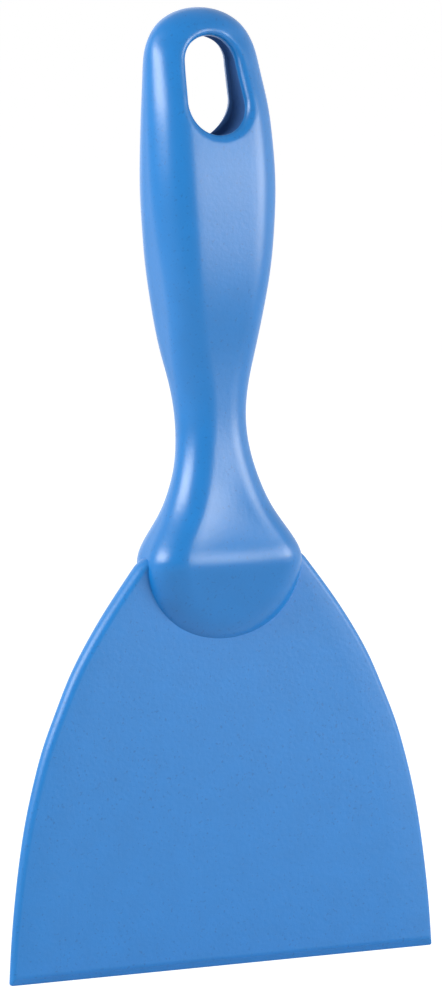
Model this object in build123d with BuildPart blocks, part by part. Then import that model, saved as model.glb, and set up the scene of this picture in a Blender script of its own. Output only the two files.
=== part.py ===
import os
from math import cos, radians, sin, sqrt

from build123d import *

os.makedirs("parts", exist_ok=True)

# Hand scraper for food rooms, standing on its scraping edge.
# Millimetres, X across the blade, Y from the front face to the back, Z up along the handle.
# The origin is the middle of the scraping edge.

# Overall
overall_length = 205.0
blade_width = 102.0

# Blade
shoulder_height = 90.0          # top of the curved sides, inside the bolster
shoulder_width = 36.0
edge_thickness = 2.1            # at the scraping edge
root_thickness = 4.7            # at the shoulder
side_flat = 0.04                # flat left between the two roundings of a side
bevel_height = 1.4              # ground strip along the front of the scraping edge
bevel_depth = 0.6

# Side of the blade: height over the edge as a share of the shoulder height,
# and how far the half width has come from the shoulder's to the scraping edge's.
blade_shares = (
    (0.0, 1.0),
    (0.10, 0.981),
    (0.20, 0.952),
    (0.30, 0.913),
    (0.40, 0.860),
    (0.48, 0.803),
    (0.56, 0.733),
    (0.64, 0.641),
    (0.72, 0.540),
    (0.79, 0.428),
    (0.86, 0.298),
    (0.93, 0.152),
    (1.0, 0.0),
)

# Tang, the flat tongue of the blade inside the handle
tang_width = 12.0
tang_thickness = 3.0
tang_length = 20.0              # above the shoulder
tang_end_rounding = 4.0
tang_root = 6.0                 # how deep the tang starts below the shoulder
key_hole_diameter = 5.0
key_hole_setback = 8.0          # centre of the hole below the tang's end

# Bolster, the swelling that carries the blade
ridge_drop = 1.5                # ridge below the blade's shoulder
bolster_width = 36.6
bolster_front = 8.7
bolster_back = 8.7
bolster_corner = 6.5
tongue_slope = 17.0             # degrees the tongue's face leans back below the ridge
tongue_step = 0.05              # how far the tongue stands inside the ridge's outline

# Neck
neck_rise = 29.0                # narrowest place above the ridge
neck_width = 15.4
neck_front = 2.6
neck_back = 10.1
neck_corner = 6.2

# Grip
grip_width = 29.2
grip_front = 5.3
grip_back = 13.7
grip_corner = 7.6

# Rounded end
end_width = 26.0
end_rise = 12.0                 # from its widest level to the tip
end_front = -0.1
end_back = 12.4
end_roll = 5.0                  # how much of the rise the rolled edge takes
end_front_lean = 0.25           # mm the front falls back per mm of height
end_steps = 7
end_sweep = 85.0                # degrees of the end made by the sections

# Hang hole
hole_setback = 12.0             # centre of its upper round below the tip
hole_run = 8.1                  # from there down to the centre of its lower round
hole_top_radius = 5.6
hole_bottom_radius = 6.9
rim_front = 2.8                 # radius of the flared rims
rim_back = 2.8
rim_steps = 4

# Sections from the ridge up to the neck. Each row has the height, width, front, back
# and corner as shares of the way from the bolster's value to the neck's.
flare_shares = (
    (0.038, 0.075, 0.007, -0.03, 0.0),
    (0.10, 0.156, 0.075, -0.15, 0.0),
    (0.143, 0.232, 0.155, -0.27, 0.05),
    (0.186, 0.311, 0.24, -0.40, 0.1),
    (0.26, 0.448, 0.35, -0.53, 0.2),
    (0.334, 0.566, 0.455, -0.62, 0.35),
    (0.483, 0.742, 0.655, -0.66, 1.0),
    (0.631, 0.872, 0.82, -0.55, 1.6),
    (0.779, 0.957, 0.92, 0.0, 1.6),
    (1.0, 1.0, 1.0, 1.0, 1.0),
)

# Sections from the neck up to the end: the height as a share of the way from the neck
# to the centre of the end, the rest as shares of the way from the neck's value to the grip's.
grip_shares = (
    (0.086, 0.06, 0.06, 0.33, 0.3),
    (0.197, 0.29, 0.30, 0.76, 0.45),
    (0.311, 0.525, 0.78, 0.98, 0.6),
    (0.43, 0.755, 1.06, 0.97, 0.75),
    (0.55, 0.915, 1.06, 0.87, 0.9),
    (0.669, 1.0, 0.86, 0.78, 1.0),
    (0.787, 0.98, 0.42, 0.70, 0.8),
    (0.894, 0.90, -0.28, 0.66, 0.3),
)

# Share of a quarter ellipse's radius at which a curve's handles stand
handle_share = 0.5523
# Largest part of the half width or half depth that a corner may take
corner_limit_share = 0.97

overrun = 20.0                  # how far cutters reach past the surfaces

tang_top = shoulder_height + tang_length
ridge_height = shoulder_height - ridge_drop
neck_height = ridge_height + neck_rise
hole_top_centre = overall_length - hole_setback
hole_bottom_centre = hole_top_centre - hole_run
half_bolster = bolster_width / 2
half_tongue = half_bolster - tongue_step
tongue_depth = bolster_front - tongue_step
half_neck = neck_width / 2
half_grip = grip_width / 2
half_end = end_width / 2
end_height = overall_length - end_rise * sin(radians(end_sweep))


def between(start, finish, share):
    return start + (finish - start) * share


def handle_section(height, half_width, front, back, corner_x, corner_y):
    """One level slice of the handle: flat front, back and sides with rounded corners."""
    half_depth = (front + back) / 2
    middle = (back - front) / 2
    corner_x = min(corner_x, half_width * corner_limit_share)
    corner_y = min(corner_y, half_depth * corner_limit_share)
    flat_x = half_width - corner_x
    flat_y = half_depth - corner_y
    reach_x = flat_x + corner_x * handle_share
    reach_y = flat_y + corner_y * handle_share
    with BuildSketch(Plane((0, middle, height))) as slice_sketch:
        with BuildLine():
            for side in (1, -1):
                Line((side * half_width, -side * flat_y), (side * half_width, side * flat_y))
                Bezier(
                    (side * half_width, side * flat_y),
                    (side * half_width, side * reach_y),
                    (side * reach_x, side * half_depth),
                    (side * flat_x, side * half_depth),
                )
                Line((side * flat_x, side * half_depth), (-side * flat_x, side * half_depth))
                Bezier(
                    (-side * flat_x, side * half_depth),
                    (-side * reach_x, side * half_depth),
                    (-side * half_width, side * reach_y),
                    (-side * half_width, side * flat_y),
                )
        make_face()
    return slice_sketch.sketch


def handle_sections():
    """All slices from the ridge of the bolster to the top of the end."""
    sections = [
        handle_section(
            ridge_height, half_bolster, bolster_front, bolster_back, bolster_corner, bolster_corner
        )
    ]
    for height, width, front, back, corner in flare_shares:
        radius = between(bolster_corner, neck_corner, corner)
        sections.append(
            handle_section(
                between(ridge_height, neck_height, height),
                between(half_bolster, half_neck, width),
                between(bolster_front, neck_front, front),
                between(bolster_back, neck_back, back),
                radius,
                radius,
            )
        )
    for height, width, front, back, corner in grip_shares:
        radius = between(neck_corner, grip_corner, corner)
        sections.append(
            handle_section(
                between(neck_height, end_height, height),
                between(half_neck, half_grip, width),
                between(neck_front, grip_front, front),
                between(neck_back, grip_back, back),
                radius,
                radius,
            )
        )
    for step in range(end_steps + 1):
        sections.append(end_section(step / end_steps * end_sweep))
    return sections


def end_section(angle):
    """A slice of the rounded end, a half ellipse with a rolled edge that leans back in front."""
    rise = end_rise * sin(radians(angle))
    core_rise = end_rise - end_roll
    core_width = half_end - end_roll
    half_width = half_end * cos(radians(angle))
    front = end_front - end_front_lean * rise
    half_depth = (front + end_back) / 2
    middle = (end_back - front) / 2
    if rise <= core_rise:
        flat = core_width * sqrt(1 - (rise / core_rise) ** 2)
    else:
        flat = 0
        half_depth *= sqrt(1 - ((rise - core_rise) / end_roll) ** 2)
    return handle_section(
        end_height + rise,
        half_width,
        half_depth - middle,
        half_depth + middle,
        half_width - flat,
        half_depth,
    )


# Blade with its tang: a tapered plate whose sides are fully rounded
with BuildPart() as blade:
    for height, width in blade_shares:
        thickness = between(edge_thickness, root_thickness, height)
        with BuildSketch(Plane.XY.offset(height * shoulder_height)):
            RectangleRounded(
                between(shoulder_width, blade_width, width),
                thickness,
                (thickness - side_flat) / 2,
            )
    loft(ruled=True)
    with BuildSketch(Plane.XZ) as tang_outline:
        with Locations((0, tang_top)):
            Rectangle(tang_width, tang_length + tang_root, align=(Align.CENTER, Align.MAX))
        fillet(tang_outline.vertices().group_by(Axis.Y)[-1], tang_end_rounding)
    extrude(amount=tang_thickness / 2, both=True)
    with BuildSketch(Plane.XZ):
        with Locations((0, tang_top - key_hole_setback)):
            Circle(key_hole_diameter / 2)
    extrude(amount=tang_thickness, both=True, mode=Mode.SUBTRACT)
    # Strip along the front of the scraping edge
    with BuildSketch(Plane.YZ):
        with BuildLine():
            Polyline(
                (-edge_thickness / 2 + 2 * bevel_depth, -bevel_height),
                (-edge_thickness / 2 - bevel_depth, 2 * bevel_height),
                (-edge_thickness / 2 - bevel_depth, -bevel_height),
                close=True,
            )
        make_face()
    extrude(amount=blade_width, both=True, mode=Mode.SUBTRACT)
blade.part.label = "blade"

# Rounded tongue of the bolster below the ridge: the ridge section turned down through
# the slope of the face, then half a disc with the same rolled edge
slope = radians(tongue_slope)
tongue_plane = Plane(
    (0, 0, ridge_height), x_dir=(1, 0, 0), z_dir=(0, sin(slope), -cos(slope))
)
with BuildPart() as tongue:
    with BuildSketch(Plane.XY.offset(ridge_height)):
        RectangleRounded(2 * half_tongue, 2 * tongue_depth, bolster_corner)
        Rectangle(
            2 * half_tongue, tongue_depth, align=(Align.CENTER, Align.MAX), mode=Mode.INTERSECT
        )
    revolve(axis=Axis((0, 0, ridge_height), (1, 0, 0)), revolution_arc=tongue_slope)
    with BuildSketch(tongue_plane):
        RectangleRounded(2 * half_tongue, 2 * tongue_depth, bolster_corner)
        Rectangle(
            half_tongue, 2 * tongue_depth, align=(Align.MIN, Align.CENTER), mode=Mode.INTERSECT
        )
    revolve(
        axis=Axis((0, 0, ridge_height), (0, -cos(slope), -sin(slope))), revolution_arc=-180
    )
    split(bisect_by=Plane.XZ, keep=Keep.TOP)
    mirror(about=Plane.XZ)

def cut_rim(face_y, lean, outward, radius):
    """Flares one mouth of the hang hole, with slices parallel to the face that it opens in."""
    tilt = sqrt(1 + lean**2)
    face = Plane(
        (0, face_y, hole_top_centre),
        x_dir=(-outward, 0, 0),
        z_dir=(0, outward, -outward * lean),
    )
    with BuildPart(mode=Mode.PRIVATE) as flare:
        for step in range(rim_steps + 2):
            angle = radians(min(step / rim_steps, 1) * 90)
            grown = radius * (1 - cos(angle))
            depth = radius * (1 - sin(angle)) if step <= rim_steps else -radius
            with BuildSketch(face.offset(-depth)):
                Circle(hole_top_radius + grown)
                with Locations((0, -hole_run * tilt)):
                    Circle(hole_bottom_radius + grown)
                make_hull()
        loft(ruled=True)
    add(flare.part, mode=Mode.SUBTRACT)


# Handle: grip, neck and bolster in one moulding, closed round the blade
with BuildPart() as handle:
    loft(handle_sections(), ruled=True)
    with BuildSketch(Plane.XZ):
        with Locations((0, hole_bottom_centre)):
            Circle(hole_bottom_radius)
        with Locations((0, hole_top_centre)):
            Circle(hole_top_radius)
        make_hull()
    extrude(amount=overrun, both=True, mode=Mode.SUBTRACT)
    hole_rise = hole_top_centre - end_height
    cut_rim(-end_front + end_front_lean * hole_rise, end_front_lean, -1, rim_front)
    cut_rim(end_back, 0, 1, rim_back)
    add(tongue.part)
    add(blade.part, mode=Mode.SUBTRACT)
handle.part.label = "handle"

export_step(blade.part, "parts/blade.step")
export_step(handle.part, "parts/handle.step")
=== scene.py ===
from math import asin, cos, hypot, pi, radians, sin, sqrt, tan

import bmesh
import bpy
import numpy as np
from mathutils import Matrix, Vector


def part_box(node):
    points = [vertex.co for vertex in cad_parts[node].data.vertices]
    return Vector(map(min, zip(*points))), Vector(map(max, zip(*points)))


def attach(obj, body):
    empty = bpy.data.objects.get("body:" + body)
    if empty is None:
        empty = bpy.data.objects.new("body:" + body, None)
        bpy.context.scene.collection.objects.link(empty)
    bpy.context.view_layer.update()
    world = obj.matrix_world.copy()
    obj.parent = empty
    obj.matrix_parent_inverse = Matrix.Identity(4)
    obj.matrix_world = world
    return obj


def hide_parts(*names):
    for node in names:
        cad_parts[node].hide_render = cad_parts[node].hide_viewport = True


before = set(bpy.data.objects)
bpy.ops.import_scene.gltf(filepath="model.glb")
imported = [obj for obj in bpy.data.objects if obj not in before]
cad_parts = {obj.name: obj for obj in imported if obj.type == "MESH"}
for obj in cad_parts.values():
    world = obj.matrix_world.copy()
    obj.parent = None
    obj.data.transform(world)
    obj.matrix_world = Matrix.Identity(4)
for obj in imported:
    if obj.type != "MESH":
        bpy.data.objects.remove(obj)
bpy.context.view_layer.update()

# Hand scraper for food rooms, standing on its scraping edge. In metres, X across the
# blade, Y from the front face to the back, Z up along the handle.

MM = 0.001

# ------------------------------------------------------------ sizes from the frame
blade_low, blade_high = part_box("blade")
handle_low, handle_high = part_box("handle")
blade_width = blade_high.x - blade_low.x
root_thickness = blade_high.y - blade_low.y
tang_top = blade_high.z
overall_length = handle_high.z
bolster_width = handle_high.x - handle_low.x
bolster_front = -handle_low.y

# ------------------------------------------------------------ blade
shoulder_height = 90 * MM        # top of the plate, inside the handle
shoulder_width = 36 * MM
edge_thickness = 2.1 * MM
bevel_height = 1.4 * MM          # bevelled strip along the front of the scraping edge
bevel_depth = 0.6 * MM
tip_rounding = 0.5 * MM          # corners of the scraping edge
edge_break = 0.12 * MM           # softened arrises of the edge
shoulder_rounding = 3 * MM       # top corners of the plate
tang_width = 12 * MM
tang_thickness = 3 * MM
tang_end_rounding = 4 * MM

# Height over the edge as a share of the shoulder height, and how far the width has come
# from the shoulder's to the scraping edge's.
blade_shares = (
    (0.0, 1.0), (0.10, 0.981), (0.20, 0.952), (0.30, 0.913), (0.40, 0.860),
    (0.48, 0.803), (0.56, 0.733), (0.64, 0.641), (0.72, 0.540), (0.79, 0.428),
    (0.86, 0.298), (0.93, 0.152), (1.0, 0.0),
)

flat_points = 12                 # points along each flat of the blade's section
side_points = 16                 # points round each side
edge_levels = (                  # heights of the rows round the edge's small forms
    0, 0.04 * MM, edge_break, 0.25 * MM, tip_rounding, 0.9 * MM,
    bevel_height - 0.02 * MM, bevel_height + 0.02 * MM,
)
plate_start = 2.2 * MM           # first of the evenly spaced rows above them
plate_steps = 64
tang_foot = shoulder_height + 0.01 * MM
tang_end_angles = (15, 30, 45, 60, 75, 90)

# ------------------------------------------------------------ bolster and its tongue
ridge_drop = 2 * MM              # from the blade's shoulder down to the ridge
bolster_corner = 6.5 * MM
tongue_slope = 17.0              # degrees the tongue's face leans back below the ridge
tongue_centre_drop = 1.8 * MM    # centre of its rounded outline below the ridge
tongue_roll_width = 7.8 * MM     # its rolled edge, measured inwards
tongue_roll_depth = 6.5 * MM
tongue_core = 0.4 * MM           # half thickness left inside the blade
tongue_tip = 0.3 * MM            # half width left at its lowest point
ridge_softness = 4.2 * MM        # how far the ridge and the shoulders are blended
dish_depth = 0.35 * MM           # hollow across the front face above the ridge
dish_rise = 8 * MM               # where it is deepest, and how far it reaches both ways
dish_reach = 11 * MM

# ------------------------------------------------------------ neck and grip
neck_rise = 29.5 * MM
neck_width = 15.4 * MM
neck_front = 2.6 * MM
neck_back = 10.1 * MM
neck_corner = 6.2 * MM
grip_top_drop = 12 * MM          # from the handle's end down to the top of the grip
grip_width = 29.2 * MM
grip_front = 5.3 * MM
grip_back = 13.62 * MM
grip_corner = 7.6 * MM

# Height, width, front, back and corner as shares of the way from the bolster's value
# to the neck's.
flare_shares = (
    (0.033, 0.026, 0.055, 0.0, 0.0), (0.07, 0.075, 0.125, -0.03, 0.0),
    (0.13, 0.149, 0.22, -0.15, 0.0), (0.172, 0.222, 0.282, -0.27, 0.05),
    (0.213, 0.30, 0.34, -0.40, 0.1), (0.285, 0.437, 0.435, -0.53, 0.2),
    (0.357, 0.557, 0.525, -0.62, 0.35), (0.5, 0.738, 0.685, -0.66, 1.0),
    (0.643, 0.872, 0.82, -0.55, 1.6), (0.786, 0.957, 0.935, 0.0, 1.6),
    (1.0, 1.0, 1.0, 1.0, 1.0),
)
# The same from the neck's values to the grip's.
grip_shares = (
    (0.086, 0.09, 0.06, 0.33, 0.3), (0.197, 0.32, 0.30, 0.76, 0.2),
    (0.311, 0.52, 0.78, 0.98, 0.15), (0.43, 0.74, 1.06, 0.97, 0.4),
    (0.55, 0.915, 1.08, 0.87, 0.9), (0.669, 1.0, 0.93, 0.78, 1.0),
    (0.787, 0.985, 0.52, 0.70, 0.9), (0.894, 0.91, -0.12, 0.66, 0.5),
)

# ------------------------------------------------------------ rounded end
end_width = 26.2 * MM
end_taper = 0.16                 # width lost per height before the rounding takes over
end_rise = 12.7 * MM
end_fullness = 2.8               # exponent of the rounded outline, 2 is an ellipse
end_front = -0.3 * MM
end_back = 12.8 * MM
end_front_lean = 0.25
end_roll = 6.2 * MM
end_corner = 6.4 * MM
end_row_shares = (0.1, 0.5, 1.0)

# ------------------------------------------------------------ hang hole
hole_setback = 12 * MM
hole_run = 8.1 * MM
hole_top_radius = 6 * MM
hole_bottom_radius = 6.7 * MM
rim_front = (2.2 * MM, 1.7 * MM, 1.7 * MM)   # rounding of its mouth: sides, top, bottom
rim_back = (3 * MM, 2.3 * MM, 2.8 * MM)
back_draft = (1.35 * MM, 0, 1.3 * MM)        # how much larger it is at the back
steepest_slope = 0.6             # of the skin where it meets the rounding
slope_smoothings = 6             # evens out that slope round the mouth
cutter_overrun = 20 * MM
cutter_step = 0.1 * MM           # depth in which the cutter widens to the back mouth
wall_middle = (end_back - end_front) / 2
bore_slot = 1                    # place of the bore's finish, with its painted shade, among the handle's

# ------------------------------------------------------------ how fine the handle is
front_points = 5                 # points on a quarter of the section
corner_points = 18
flank_points = 3
least_grip_front = 0.15          # least share of the half width for the front's points
least_tongue_front = 0.35
most_corner_depth = 0.97         # most of the half depth that a corner takes up
blend_steps = 8
blend_room = 0.3                 # share of the way to the nearest end for a blend
tongue_steps = 26
tongue_reach = 0.995             # how near the rows come to the tongue's lowest point
ridge_band = 5 * MM              # height of the finer rows above the ridge
ridge_step = 0.4 * MM
grip_step = 0.7 * MM
end_steps = 32
end_reach = 0.99                 # how near they come to the top of the end
rim_steps = 8
top_arc_steps = 28               # round the hole, set so that no face beside it folds
bottom_arc_steps = 38
hole_side_steps = 13
merge_distance = 0.002 * MM

ridge_height = shoulder_height - ridge_drop
neck_height = ridge_height + neck_rise
grip_height = overall_length - grip_top_drop
end_height = overall_length - end_rise
tongue_centre = ridge_height - tongue_centre_drop
half_bolster = bolster_width / 2
hole_top_centre = overall_length - hole_setback
hole_bottom_centre = hole_top_centre - hole_run


# ------------------------------------------------------------ helpers for shapes
def between(start, finish, share):
    return start + (finish - start) * share


def limited(value, low, high):
    return max(low, min(high, value))


def smooth_curve(points):
    """A curve with steadily changing bend through points of a height and a value."""
    heights, values = np.array(sorted(points)).T
    gaps = np.diff(heights)
    slopes = np.diff(values) / gaps
    count = len(heights)
    weights = np.eye(count)
    pulls = np.zeros(count)
    for i in range(1, count - 1):
        weights[i, i - 1:i + 2] = gaps[i - 1], 2 * (gaps[i - 1] + gaps[i]), gaps[i]
        pulls[i] = 6 * (slopes[i] - slopes[i - 1])
    bends = np.linalg.solve(weights, pulls)

    def value_at(height):
        i = int(limited(np.searchsorted(heights, height) - 1, 0, count - 2))
        up = (height - heights[i]) / gaps[i]
        down = 1 - up
        bow = (down**3 - down) * bends[i] + (up**3 - up) * bends[i + 1]
        return float(values[i] * down + values[i + 1] * up + bow * gaps[i] ** 2 / 6)

    return value_at


def ring_edges(mesh, ring):
    return [mesh.edges.get((ring[i - 1], ring[i])) for i in range(len(ring))]


def pull_ring(mesh, ring):
    """Extrudes a closed ring of points and returns the new ring in the same order."""
    pulled = bmesh.ops.extrude_edge_only(mesh, edges=ring_edges(mesh, ring))
    fresh = {item for item in pulled["geom"] if isinstance(item, bmesh.types.BMVert)}
    return [
        next(
            edge.other_vert(point)
            for edge in point.link_edges
            if edge.other_vert(point) in fresh
        )
        for point in ring
    ]


def draw_up(levels, points_at, count):
    """A skin drawn up from level to level, closed at both ends."""
    mesh = bmesh.new()
    bmesh.ops.create_circle(mesh, segments=count, radius=1.0)
    mesh.verts.ensure_lookup_table()
    ring = list(mesh.verts)
    first = ring
    for number, level in enumerate(levels):
        if number:
            ring = pull_ring(mesh, ring)
        for point, place in zip(ring, points_at(level)):
            point.co = place
    for loose in (first, ring):
        bmesh.ops.contextual_create(mesh, geom=ring_edges(mesh, loose))
    return mesh


def sort_points(mesh):
    """Orders a mesh's points by their places, because a cut leaves them in any order."""
    places = sorted(mesh.verts, key=lambda point: tuple(point.co))
    ranks = {point: rank for rank, point in enumerate(places)}
    mesh.verts.sort(key=ranks.get)


def mesh_data(name, mesh):
    """Turns a bmesh into mesh data."""
    data = bpy.data.meshes.new(name)
    mesh.to_mesh(data)
    mesh.free()
    return data


def add_object(name, data):
    """A new object in the scene."""
    item = bpy.data.objects.new(name, data)
    bpy.context.scene.collection.objects.link(item)
    return item


def finish_piece(name, mesh, node, slot, *finishes):
    """Turns a bmesh into the piece that stands for a CAD node."""
    sort_points(mesh)
    bmesh.ops.remove_doubles(mesh, verts=mesh.verts, dist=merge_distance)
    bmesh.ops.recalc_face_normals(mesh, faces=mesh.faces)
    for face in mesh.faces:
        face.smooth = True
    data = mesh_data(name, mesh)
    for finish in finishes:
        data.materials.append(finish)
    piece = add_object(name, data)
    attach(piece, "root")
    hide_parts(node)


# ------------------------------------------------------------ blade plate
blade_half_width = smooth_curve(
    [
        (share * shoulder_height, between(shoulder_width, blade_width, width) / 2)
        for share, width in blade_shares
    ]
)


def blade_section(height, half_width, half_thickness):
    """One level of the blade: flat front and back, sides fully rounded."""
    flat = half_width - half_thickness
    places = []
    for side in (1, -1):
        for i in range(side_points + 1):
            angle = radians(between(-90, 90, i / side_points))
            places.append((
                side * (flat + half_thickness * cos(angle)),
                side * half_thickness * sin(angle),
                height,
            ))
        for i in range(1, flat_points):
            places.append((
                side * between(flat, -flat, i / flat_points),
                side * half_thickness,
                height,
            ))
    return places


def plate_level(height):
    """One level of the plate, with its bevel and its rounded corners and arrises."""
    thickness = between(edge_thickness, root_thickness, height / shoulder_height)
    half_thickness = thickness / 2
    half_width = blade_half_width(height)
    if height < tip_rounding:
        rest = tip_rounding - height
        half_width -= tip_rounding - sqrt(tip_rounding**2 - rest**2)
    if height > shoulder_height - shoulder_rounding:
        rest = height - (shoulder_height - shoulder_rounding)
        half_width -= shoulder_rounding - sqrt(max(0, shoulder_rounding**2 - rest**2))
    if height < edge_break:
        rest = edge_break - height
        half_thickness -= edge_break - sqrt(edge_break**2 - rest**2)
    strip = -edge_thickness / 2 + bevel_depth * (1 - height / bevel_height)
    return [
        (x, max(y, strip) if height < bevel_height else y, z)
        for x, y, z in blade_section(height, half_width, half_thickness)
    ]


def tang_level(height):
    """The tang has straight sides and a rounded end."""
    rest = max(0, height - (tang_top - tang_end_rounding))
    half_width = tang_width / 2 - tang_end_rounding
    half_width += sqrt(max(0, tang_end_rounding**2 - rest**2))
    return blade_section(height, half_width, tang_thickness / 2)


def make_blade():
    levels = list(edge_levels)
    levels += [
        between(plate_start, shoulder_height, i / plate_steps)
        for i in range(plate_steps + 1)
    ]
    levels += [tang_foot, tang_top - tang_end_rounding]
    levels += [
        tang_top - tang_end_rounding * (1 - sin(radians(angle)))
        for angle in tang_end_angles
    ]

    def places(level):
        return (tang_level if level > shoulder_height else plate_level)(level)

    return draw_up(levels, places, 2 * (side_points + flat_points))


# ------------------------------------------------------------ handle
def handle_rows():
    """Height, width, front, back and corner of the handle from the ridge upwards."""
    bolster = ridge_height, bolster_width, bolster_front, bolster_front, bolster_corner
    neck = neck_height, neck_width, neck_front, neck_back, neck_corner
    grip = grip_height, grip_width, grip_front, grip_back, grip_corner
    rows = [bolster]
    for start, finish, table in (
        (bolster, neck, flare_shares), (neck, grip, grip_shares)
    ):
        rows += [
            tuple(between(*pair) for pair in zip(start, finish, shares))
            for shares in table
        ]
    for share in end_row_shares:
        rise = share * end_rise
        rows.append((
            end_height + rise,
            end_width - end_taper * rise,
            end_front - end_front_lean * rise,
            end_back,
            end_corner,
        ))
    return rows


rows = handle_rows()
width_at, front_at, back_at, corner_at = (
    smooth_curve([(row[0], row[column]) for row in rows]) for column in (1, 2, 3, 4)
)


def rounded_end(share):
    """How much of its width is left at a share of the way up a rounded end."""
    return sqrt(1 - limited(share, 0, 1) ** end_fullness)


def grip_quarter(height):
    """Points of a quarter section as width and depth, with the middle line's place."""
    half_width, front, back = width_at(height) / 2, front_at(height), back_at(height)
    corner = corner_at(height)
    half_depth, middle = (front + back) / 2, (back - front) / 2
    rise = height - end_height
    flat_x = half_width - corner
    if rise > 0:
        flat_x *= rounded_end(rise / (end_rise - corner))
        half_width *= rounded_end(rise / end_rise)
        half_depth *= rounded_end((rise - end_rise + end_roll) / end_roll)
    corner_y = min(corner, half_depth * most_corner_depth)
    flat_x = limited(flat_x, half_width * least_grip_front, half_width)
    points = [(flat_x * i / front_points, half_depth) for i in range(front_points)]
    for i in range(corner_points + 1):
        angle = i / corner_points * pi / 2
        points.append((
            flat_x + (half_width - flat_x) * sin(angle),
            half_depth - corner_y * (1 - cos(angle)),
        ))
    side = half_depth - corner_y
    for i in range(1, flank_points + 1):
        points.append((half_width, side * (1 - i / flank_points)))
    return points, middle


def tongue_quarter(height):
    """A quarter section of the tongue: a leaning face in a round, rolled outline."""
    below = max(0, tongue_centre - height)
    depth = bolster_front - (ridge_height - height) * tan(radians(tongue_slope))
    half_width = sqrt(max(half_bolster**2 - below**2, tongue_tip**2))
    inner = half_bolster - tongue_roll_width
    flat_x = max(sqrt(max(inner**2 - below**2, 0)), half_width * least_tongue_front)

    def depth_at(x):
        roll = limited((hypot(x, below) - inner) / tongue_roll_width, 0, 1)
        return max(depth - tongue_roll_depth * (1 - sqrt(1 - roll**2)), tongue_core)

    across = [flat_x * i / front_points for i in range(front_points)]
    across += [
        flat_x + (half_width - flat_x) * sin(i / corner_points * pi / 2)
        for i in range(corner_points + 1)
    ]
    points = [(x, depth_at(x)) for x in across]
    side = points[-1][1]
    for i in range(1, flank_points + 1):
        points.append((half_width, side * (1 - i / flank_points)))
    return points, 0.0


def dished(quarter, height):
    """The front's points with the shallow hollow above the ridge."""
    off = limited(abs(height - ridge_height - dish_rise) / dish_reach, 0, 1)
    depth = dish_depth * (1 - off**2) ** 2
    flat_x = quarter[front_points][0]
    return [(x, y - depth * max(0, 1 - (x / flat_x) ** 2)) for x, y in quarter]


def handle_ring(height):
    """All points round one level of the handle, before the ridge is softened."""
    quarter_at = tongue_quarter if height < ridge_height else grip_quarter
    quarter, middle = quarter_at(height)
    front = dished(quarter, height)
    last = len(quarter) - 1
    ring = [(x, middle - y) for x, y in front]
    ring += [(x, middle + y) for x, y in reversed(quarter[:last])]
    ring += [(-x, middle + y) for x, y in quarter[1:]]
    ring += [(-x, middle - y) for x, y in reversed(front[1:last])]
    return np.array(ring)


def handle_level(height):
    """A ring of the handle, blended with the levels just above and below it."""
    room = min(overall_length - height, height - (tongue_centre - half_bolster))
    reach = min(ridge_softness, room * blend_room)
    parts = [i / blend_steps for i in range(1 - blend_steps, blend_steps)]
    weights = [(1 - part**2) ** 2 for part in parts]
    total = sum(
        handle_ring(height + part * reach) * weight
        for part, weight in zip(parts, weights)
    )
    return [(x, y, height) for x, y in total / sum(weights)]


def handle_levels():
    """Heights of the handle's rows, closest at the ridge and at both ends."""
    heights = [
        tongue_centre - half_bolster * tongue_reach * cos(i / tongue_steps * pi / 2)
        for i in range(tongue_steps)
    ]
    height = tongue_centre
    while height < end_height:
        heights.append(height)
        height += ridge_step if height < ridge_height + ridge_band else grip_step
    heights += [
        end_height + end_rise * sin(i / end_steps * pi / 2 * end_reach)
        for i in range(end_steps + 1)
    ]
    return heights


def hole_outline():
    """Points round the hang hole, as place and outward direction in X and Z."""
    lean = asin((hole_bottom_radius - hole_top_radius) / hole_run)
    top = Vector((0, 0, hole_top_centre))
    bottom = Vector((0, 0, hole_bottom_centre))
    arcs = (
        (top, hole_top_radius, lean, pi - lean, top_arc_steps),
        (bottom, hole_bottom_radius, pi - lean, 2 * pi + lean, bottom_arc_steps),
    )
    outline = []
    for centre, radius, start, finish, steps in arcs:
        for i in range(steps + 1):
            angle = between(start, finish, i / steps)
            out = Vector((cos(angle), 0, sin(angle)))
            outline.append((centre + out * radius, out))
        here, out = outline[-1]
        there = bottom + out * hole_bottom_radius if centre is top else outline[0][0]
        outline += [
            (here.lerp(there, i / hole_side_steps), out)
            for i in range(1, hole_side_steps)
        ]
    return outline


def reach_of(sizes, out):
    """Size in the direction out, from the sizes at the hole's sides, top and bottom."""
    side, top, bottom = sizes
    return side * out.x**2 + (top if out.z > 0 else bottom) * out.z**2


def grown(outline, *growths):
    """Places of the outline moved outwards by all the growths together."""
    return [
        place + out * sum(reach_of(sizes, out) for sizes in growths)
        for place, out in outline
    ]


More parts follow.
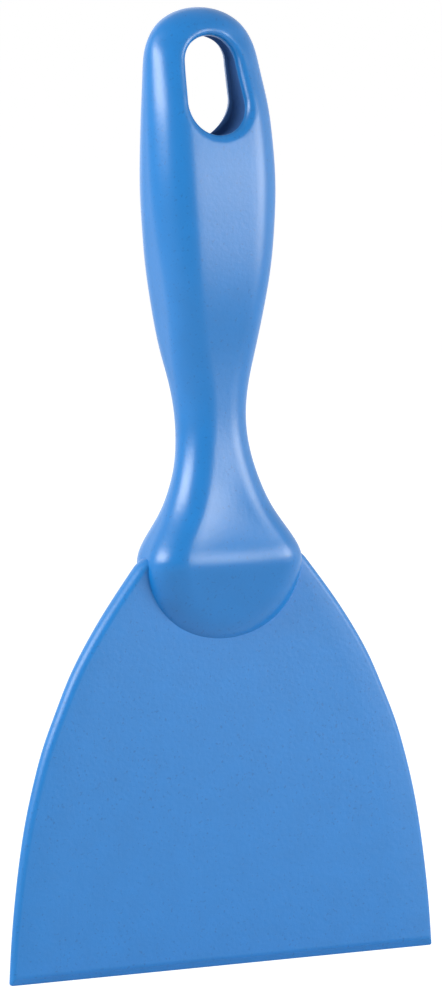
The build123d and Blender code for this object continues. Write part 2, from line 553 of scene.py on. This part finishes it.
def cut_hole(piece, mouths):
    """Cuts the hole, each half as wide as its mouth, and leaves the cut open."""
    front_mouth, back_mouth = mouths
    places = (
        (front_mouth, -cutter_overrun), (front_mouth, wall_middle - cutter_step),
        (back_mouth, wall_middle), (back_mouth, cutter_overrun),
    )

    def ring_at(level):
        points, depth = level
        return [place + Vector((0, depth, 0)) for place in points]

    cutter_mesh = draw_up(places, ring_at, len(front_mouth))
    bmesh.ops.recalc_face_normals(cutter_mesh, faces=cutter_mesh.faces)
    for face in cutter_mesh.faces:
        face.material_index = bore_slot
    cutter = add_object("hole_cutter", mesh_data("hole_cutter", cutter_mesh))
    for data in (piece.data, cutter.data):   # so that the cut keeps the faces' slots
        for _ in range(bore_slot + 1):
            data.materials.append(None)
    cut = piece.modifiers.new("hang_hole", "BOOLEAN")
    cut.operation = "DIFFERENCE"
    cut.solver = "EXACT"
    cut.object = cutter
    bpy.context.view_layer.update()
    shape = piece.evaluated_get(bpy.context.evaluated_depsgraph_get())
    result = bpy.data.meshes.new_from_object(shape)
    piece.modifiers.remove(cut)
    bpy.data.objects.remove(cutter)
    mesh = bmesh.new()
    mesh.from_mesh(result)
    bpy.data.meshes.remove(result)
    walls = [face for face in mesh.faces if face.material_index == bore_slot]
    bmesh.ops.delete(mesh, geom=walls, context="FACES")
    sort_points(mesh)
    return mesh


def weld_mouth(mesh, places, open_points):
    """Joins the cut's open points to one for each place and returns these in order."""
    ring = [
        min(open_points, key=lambda p: hypot(p.co.x - place.x, p.co.z - place.z))
        for place in places
    ]
    merges = {
        point: min(ring, key=lambda p: (p.co - point.co).length)
        for point in open_points
        if point not in ring
    }
    bmesh.ops.weld_verts(mesh, targetmap=merges)
    mesh.normal_update()
    return ring


def skin_slopes(ring, outline):
    """How steeply the skin falls away from each point of a mouth, evened out."""
    slopes = []
    for point, (_, out) in zip(ring, outline):
        facing = sum((face.normal for face in point.link_faces), Vector())
        slope = facing.dot(out) / facing.y
        slopes.append(limited(slope, -steepest_slope, steepest_slope))
    for _ in range(slope_smoothings):
        slopes = [
            (slopes[i - 1] + slopes[i] + slopes[(i + 1) % len(slopes)]) / 3
            for i in range(len(slopes))
        ]
    return slopes


def roll_rim(mesh, ring, outline, rim, inward_y):
    """Rolls a mouth inwards by a quarter round and returns its inmost ring."""
    starts = [point.co.copy() for point in ring]
    slopes = skin_slopes(ring, outline)
    for step in range(1, rim_steps + 1):
        angle = step / rim_steps * pi / 2
        ring = pull_ring(mesh, ring)
        for point, start, (_, out), slope in zip(ring, starts, outline, slopes):
            inward = reach_of(rim, out) * sin(angle)
            sink = reach_of(rim, out) * (1 - cos(angle))
            point.co = start - out * inward
            point.co.y += slope * inward * cos(angle) + inward_y * sink
    # The rim's inmost faces take the bore's finish, which is painted shade
    for point in ring:
        for face in point.link_faces:
            face.material_index = bore_slot
    return ring


def flare_hole(mesh, outline, mouths):
    """Rolls both rims of the hang hole inwards and joins them with its wall."""
    open_points = [point for point in mesh.verts if point.is_boundary]
    at_front = [point for point in open_points if point.co.y < wall_middle]
    at_back = [point for point in open_points if point.co.y > wall_middle]
    ends = []
    for inward_y, rim, places, cut_points in (
        (1, rim_front, mouths[0], at_front), (-1, rim_back, mouths[1], at_back)
    ):
        ring = weld_mouth(mesh, places, cut_points)
        ends.append(roll_rim(mesh, ring, outline, rim, inward_y))
    wall = bmesh.ops.bridge_loops(
        mesh, edges=ring_edges(mesh, ends[0]) + ring_edges(mesh, ends[1])
    )
    # The wall takes the bore's finish, which is painted shade
    for face in wall["faces"]:
        face.material_index = bore_slot


def make_handle():
    count = 4 * (front_points + corner_points + flank_points)
    mesh = draw_up(handle_levels(), handle_level, count)
    bmesh.ops.recalc_face_normals(mesh, faces=mesh.faces)
    blank = add_object("handle_blank", mesh_data("handle_blank", mesh))
    outline = hole_outline()
    mouths = grown(outline, rim_front), grown(outline, rim_back, back_draft)
    mesh = cut_hole(blank, mouths)
    bpy.data.objects.remove(blank)
    flare_hole(mesh, outline, mouths)
    return mesh


# ------------------------------------------------------------ helpers for shaders
def feed(tree, socket, value):
    """Links a socket to another one, or sets it to a number or a colour."""
    if isinstance(value, bpy.types.NodeSocket):
        tree.links.new(value, socket)
    else:
        socket.default_value = value


def add_node(tree, kind, inputs):
    """A shader node with its named sockets fed."""
    node = tree.nodes.new("ShaderNode" + kind)
    for label, value in inputs.items():
        feed(tree, node.inputs[label], value)
    return node


def add_math(tree, operation, *values, clamp=False):
    node = tree.nodes.new("ShaderNodeMath")
    node.operation = operation
    node.use_clamp = clamp
    for socket, value in zip(node.inputs, values):
        feed(tree, socket, value)
    return node.outputs[0]


def mix_colours(tree, share, first, second):
    """The first colour where the share is 0, the second where it is 1."""
    node = tree.nodes.new("ShaderNodeMix")
    node.data_type = "RGBA"
    share_in, first_in, second_in = node.inputs[0], node.inputs[6], node.inputs[7]
    feed(tree, share_in, share)
    feed(tree, first_in, first)
    feed(tree, second_in, second)
    return node.outputs[2]


def noise_group(name, numbers, output, detail):
    """A shader group round one noise: its tree, what it is given, noise and output."""
    tree = bpy.data.node_groups.new(name, "ShaderNodeTree")
    sockets = tree.interface
    sockets.new_socket("Place", in_out="INPUT", socket_type="NodeSocketVector")
    for label in numbers:
        sockets.new_socket(label, in_out="INPUT", socket_type="NodeSocketFloat")
    sockets.new_socket(output, in_out="OUTPUT", socket_type="NodeSocketFloat")
    given = tree.nodes.new("NodeGroupInput").outputs
    result = tree.nodes.new("NodeGroupOutput").inputs[output]
    noise = add_node(tree, "TexNoise", {
        "Vector": given["Place"], "Scale": given["Scale"], "Detail": detail,
    })
    return tree, given, noise.outputs["Fac"], result


# ------------------------------------------------------------ finishes
handle_blue = (0.0036, 0.160, 0.468)
# The blade's blue is the handle's plastic made about five per cent lighter, painted
# light for how brightly the blade is lit
blade_painted_light_blue = (0.0038, 0.168, 0.490)
bore_painted_shade_blue = (0.042, 0.108, 0.28)             # the wall of the hang hole: the plastic's blue darkened as painted shade
fleck_blue = (0.003, 0.09, 0.28)             # specks in all of them
tint_swing = 0.045               # share by which a colour gets darker and lighter

speck_scale, speck_amount = 1500.0, 0.5
speck_gain, speck_floor = 9.0, -5.6          # so that only the noise's peaks show
mottle_scale, mottle_spread = 200.0, 1.6
gloss_scale, gloss_spread = 130.0, 1.0
grain_scale = 1100.0
grain_height = 0.1 * MM
plastic_ior = 1.5


def speckle_group():
    """Fine darker specks in the plastic, 0 clear to 1 speck."""
    tree, given, noise, result = noise_group(
        "plastic_speckle", ("Scale", "Amount"), "Mask", detail=2.0
    )
    peaks = add_math(tree, "MULTIPLY_ADD", noise, speck_gain, speck_floor, clamp=True)
    feed(tree, result, add_math(tree, "MULTIPLY", peaks, given["Amount"]))
    return tree


def cloud_group():
    """Soft unevenness, 0 to 1 about a middle of one half."""
    tree, given, noise, result = noise_group(
        "soft_cloud", ("Scale", "Spread"), "Value", detail=3.0
    )
    centred = add_math(tree, "SUBTRACT", noise, 0.5)
    spread = add_math(tree, "MULTIPLY", centred, given["Spread"])
    feed(tree, result, add_math(tree, "ADD", spread, 0.5, clamp=True))
    return tree


def grain_group():
    """Height of the fine texture that the mould leaves on the plastic, 0 to 1."""
    tree, _, noise, result = noise_group(
        "mould_grain", ("Scale",), "Height", detail=4.0
    )
    feed(tree, result, noise)
    return tree


speckle, cloud, grain = speckle_group(), cloud_group(), grain_group()


def blue_plastic(name, colour, roughness, rough_spread, grain_strength, shine=0.5):
    """Satin moulded polypropylene with fine specks, uneven gloss and mould grain."""
    material = bpy.data.materials.new(name)
    material.use_nodes = True
    tree = material.node_tree
    shader = tree.nodes["Principled BSDF"]
    place = add_node(tree, "TexCoord", {}).outputs["Object"]

    def use(group, **numbers):
        node = tree.nodes.new("ShaderNodeGroup")
        node.node_tree = group
        for label, value in {"Place": place, **numbers}.items():
            feed(tree, node.inputs[label], value)
        return node.outputs[0]

    specks = use(speckle, Scale=speck_scale, Amount=speck_amount)
    mottle = use(cloud, Scale=mottle_scale, Spread=mottle_spread)
    gloss = use(cloud, Scale=gloss_scale, Spread=gloss_spread)
    darker, lighter = (
        (*[channel * share for channel in colour], 1)
        for share in (1 - tint_swing, 1 + tint_swing)
    )
    tint = mix_colours(tree, mottle, darker, lighter)
    bump = add_node(tree, "Bump", {
        "Height": use(grain, Scale=grain_scale),
        "Strength": grain_strength,
        "Distance": grain_height,
    })
    least_roughness = roughness - rough_spread / 2
    for label, value in (
        ("Base Color", mix_colours(tree, specks, tint, (*fleck_blue, 1))),
        ("Roughness",
         add_math(tree, "MULTIPLY_ADD", gloss, rough_spread, least_roughness)),
        ("Normal", bump.outputs["Normal"]),
        ("IOR", plastic_ior),
        ("Specular IOR Level", shine),
    ):
        feed(tree, shader.inputs[label], value)
    return material


handle_finish = blue_plastic(
    "handle_satin_blue", handle_blue,
    roughness=0.33, rough_spread=0.05, grain_strength=0.26,
)
blade_finish = blue_plastic(
    "blade_satin_blue", blade_painted_light_blue,
    roughness=0.42, rough_spread=0.06, grain_strength=0.34,
)
# The hang hole's wall: a darker copy of the plastic's blue as painted shade, with no
# shine
bore_shade_finish = blue_plastic(
    "bore_matt_painted_shade", bore_painted_shade_blue,
    roughness=0.7, rough_spread=0.06, grain_strength=0.2, shine=0.0,
)

finish_piece("blade_plate", make_blade(), "blade", "blade", blade_finish)
finish_piece(
    "handle_moulding", make_handle(), "handle", "handle", handle_finish, bore_shade_finish
)

# ------------------------------------------------------------ floor and background
floor_radius = 12.0
floor_corners = 64
floor_grey = (0.65, 0.65, 0.65, 1)           # for the light that it throws back
floor_shadow_grey = (0.3, 0.3, 0.3, 1)       # lets the shadow show on the glow
floor_glow = 0.97
studio_fill = 0.1
white = (1, 1, 1, 1)


def show_apart(tree, unseen, seen, surface):
    """One shader for the camera and for reflections, another for all other rays."""
    rays = add_node(tree, "LightPath", {}).outputs
    share = add_math(tree, "MAXIMUM", rays["Is Camera Ray"], rays["Is Glossy Ray"])
    share = add_math(tree, "MAXIMUM", share, rays["Is Transmission Ray"])
    mix = tree.nodes.new("ShaderNodeMixShader")
    for socket, value in zip(mix.inputs, (share, unseen, seen)):
        feed(tree, socket, value)
    feed(tree, surface, mix.outputs[0])


def make_floor():
    mesh = bmesh.new()
    bmesh.ops.create_circle(
        mesh, segments=floor_corners, radius=floor_radius, cap_ends=True
    )
    floor = add_object("floor", mesh_data("floor", mesh))
    material = bpy.data.materials.new("pale_floor")
    material.use_nodes = True
    tree = material.node_tree
    tree.nodes.clear()
    matt = add_node(tree, "BsdfDiffuse", {"Color": floor_grey})
    glow = add_node(tree, "Emission", {"Strength": floor_glow})
    shaded = add_node(tree, "BsdfDiffuse", {"Color": floor_shadow_grey})
    lit = tree.nodes.new("ShaderNodeAddShader")
    feed(tree, lit.inputs[0], glow.outputs[0])
    feed(tree, lit.inputs[1], shaded.outputs[0])
    output = tree.nodes.new("ShaderNodeOutputMaterial")
    show_apart(tree, matt.outputs[0], lit.outputs[0], output.inputs["Surface"])
    floor.data.materials.append(material)


def make_world():
    world = bpy.data.worlds.new("studio")
    bpy.context.scene.world = world
    world.use_nodes = True
    tree = world.node_tree
    tree.nodes.remove(tree.nodes["Background"])
    fill, backdrop = (
        add_node(tree, "Background", {"Color": white, "Strength": strength})
        for strength in (studio_fill, 1.0)
    )
    surface = tree.nodes["World Output"].inputs["Surface"]
    show_apart(tree, fill.outputs[0], backdrop.outputs[0], surface)


make_floor()
make_world()

# ------------------------------------------------------------ lamps
middle = Vector((0, 0, 0.1))     # of the object, which lamps and camera are aimed at


def softbox(name, azimuth, elevation, distance, width, height, power):
    """A soft lamp; angles in degrees, with azimuth 0 in front and 90 to the right."""
    light = bpy.data.lights.new(name, "AREA")
    light.shape = "RECTANGLE"
    light.size, light.size_y = width, height
    light.energy = power
    lamp = add_object(name, light)
    lamp.visible_camera = False
    around, up = radians(azimuth), radians(elevation)
    away = Vector((sin(around) * cos(up), -cos(around) * cos(up), sin(up)))
    lamp.location = middle + away * distance
    lamp.rotation_euler = (-away).to_track_quat("-Z", "Y").to_euler()


softbox("right_softbox", 43, 10, 0.9, 0.55, 0.40, 7.3)
softbox("left_softbox", -87, 30, 0.9, 0.62, 0.35, 10.5)
softbox("right_fill", 75, 5, 1.0, 0.9, 0.7, 1.5)
softbox("back_fill", 180, 20, 1.2, 1.4, 1.2, 3.2)

# ------------------------------------------------------------ camera
camera_turn = 0.4799655442984406      # round the object, radians from straight in front
camera_tilt = 0.10641093827232594     # looking down
camera_roll = -0.009641030509218121
camera_distance = 1.5                 # from the middle of the object
pixels_per_metre = 4692.504776127582  # at that distance
shift_right, shift_up = -1.8946548669785046, -1.610015586944952   # pixels
picture_height = 1000                 # pixels
sensor_width = 36.0
nearest_seen, farthest_seen = 0.05, 100.0

look = Vector((
    sin(camera_turn) * cos(camera_tilt),
    cos(camera_turn) * cos(camera_tilt),
    -sin(camera_tilt),
))
level_right = Vector((cos(camera_turn), -sin(camera_turn), 0))
level_up = level_right.cross(look)
right = level_right * cos(camera_roll) + level_up * sin(camera_roll)
up = level_up * cos(camera_roll) - level_right * sin(camera_roll)
camera = add_object("camera", bpy.data.cameras.new("camera"))
pose = Matrix((right, up, -look)).transposed().to_4x4()
pose.translation = (
    middle - look * camera_distance
    - (right * shift_right + up * shift_up) / pixels_per_metre
)
camera.matrix_world = pose
camera.data.sensor_width = sensor_width
camera.data.lens = camera_distance * pixels_per_metre * sensor_width / picture_height
camera.data.clip_start, camera.data.clip_end = nearest_seen, farthest_seen
bpy.context.scene.camera = camera
bpy.context.scene.view_settings.view_transform = "Standard"
